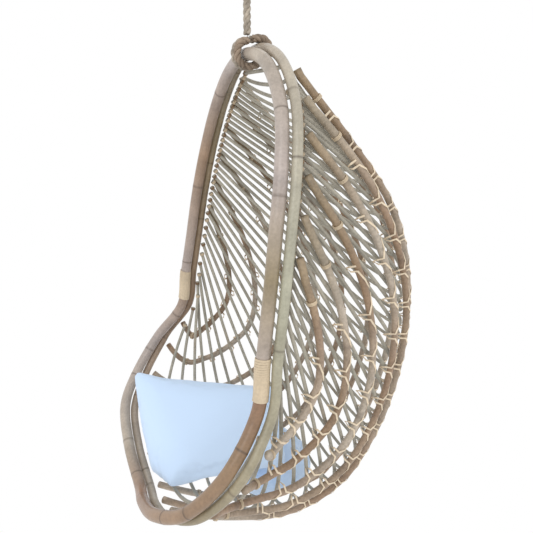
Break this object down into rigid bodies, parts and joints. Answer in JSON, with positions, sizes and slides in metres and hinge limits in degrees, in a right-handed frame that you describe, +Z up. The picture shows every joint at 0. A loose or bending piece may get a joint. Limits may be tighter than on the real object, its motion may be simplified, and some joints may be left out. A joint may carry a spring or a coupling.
{
  "type": "hanging egg chair",
  "caption": "Rattan basket seat on a bent-pole rim, hung from a swivel hook by one rope, with seat and scatter cushions.",
  "frame": {"origin": "middle of the ceiling plate's top face, where it meets the ceiling", "axes": "+Z up along the load line; the open front of the basket faces -Y; +X is the right-hand side of the chair as seen with +Y pointing away"},
  "size_m": [0.7718, 0.8081, 1.5803],
  "materials": {
    "steel": "zinc-plated, satin",
    "rope": "twisted natural fibre",
    "twine": "waxed whipping twine",
    "rim_rattan": "thick peeled rattan pole, clear lacquer",
    "rear_rattan": "peeled rattan pole, clear lacquer",
    "hoop_rattan": "peeled rattan pole, clear lacquer",
    "rod_rattan": "thin rattan core, matt",
    "cane": "flat split cane binding",
    "cushion_fabric": "plain woven outdoor cotton"
  },
  "bodies": {
    "ceiling_mount": {"ceiling_plate": "steel", "swivel_housing": "steel"},
    "hook": {"swivel_hook": "steel"},
    "ring": {"hanging_ring": "steel"},
    "chair": {"rope": "rope", "rope_eye": "rope", "rope_seizing": "twine", "rope_knot": "rope", "rim_upper_pole": "rim_rattan", "rim_lower_pole": "rim_rattan", "rim_rear_pole": "rear_rattan", "binding_right": "cane", "binding_left": "cane", "hoop_centre": "hoop_rattan", "hoop_right_1": "hoop_rattan", "hoop_right_2": "hoop_rattan", "hoop_right_3": "hoop_rattan", "hoop_right_4": "hoop_rattan", "hoop_right_5": "hoop_rattan", "hoop_right_6": "hoop_rattan", "hoop_left_1": "hoop_rattan", "hoop_left_2": "hoop_rattan", "hoop_left_3": "hoop_rattan", "hoop_left_4": "hoop_rattan", "hoop_left_5": "hoop_rattan", "hoop_left_6": "hoop_rattan", "rod_pair_01": "rod_rattan", "rod_pair_02": "rod_rattan", "rod_pair_03": "rod_rattan", "rod_pair_04": "rod_rattan", "rod_pair_05": "rod_rattan", "rod_pair_06": "rod_rattan", "rod_pair_07": "rod_rattan", "rod_pair_08": "rod_rattan", "rod_pair_09": "rod_rattan", "rod_pair_10": "rod_rattan", "rod_pair_11": "rod_rattan", "rod_pair_12": "rod_rattan", "rod_pair_13": "rod_rattan", "rod_pair_14": "rod_rattan", "rod_pair_15": "rod_rattan", "rod_pair_16": "rod_rattan", "rod_pair_17": "rod_rattan", "rod_pair_18": "rod_rattan", "rod_pair_19": "rod_rattan", "rod_pair_20": "rod_rattan"},
    "seat_pad": {"seat_cushion": "cushion_fabric"},
    "scatter_pad": {"scatter_cushion": "cushion_fabric"}
  },
  "joints": [
    {"name": "hook_swivel", "type": "hinge", "parent": "ceiling_mount", "child": "hook", "pos_m": [0, 0, -0.05], "axis": [0, 0, 1], "continuous": true},
    {"name": "fore_aft_swing", "type": "hinge", "parent": "hook", "child": "ring", "pos_m": [0, 0, -0.072], "axis": [1, 0, 0], "range_deg": [-25, 25]},
    {"name": "side_swing", "type": "hinge", "parent": "ring", "child": "chair", "pos_m": [0, 0, -0.1131], "axis": [0, 1, 0], "range_deg": [-20, 20]},
    {"name": "seat_pad_lift", "type": "slide", "parent": "chair", "child": "seat_pad", "axis": [0, 0, 1], "range_m": [0, 0.06]},
    {"name": "scatter_pad_lift", "type": "slide", "parent": "seat_pad", "child": "scatter_pad", "axis": [0, -0.342, 0.9397], "range_m": [0, 0.15]}
  ]
}
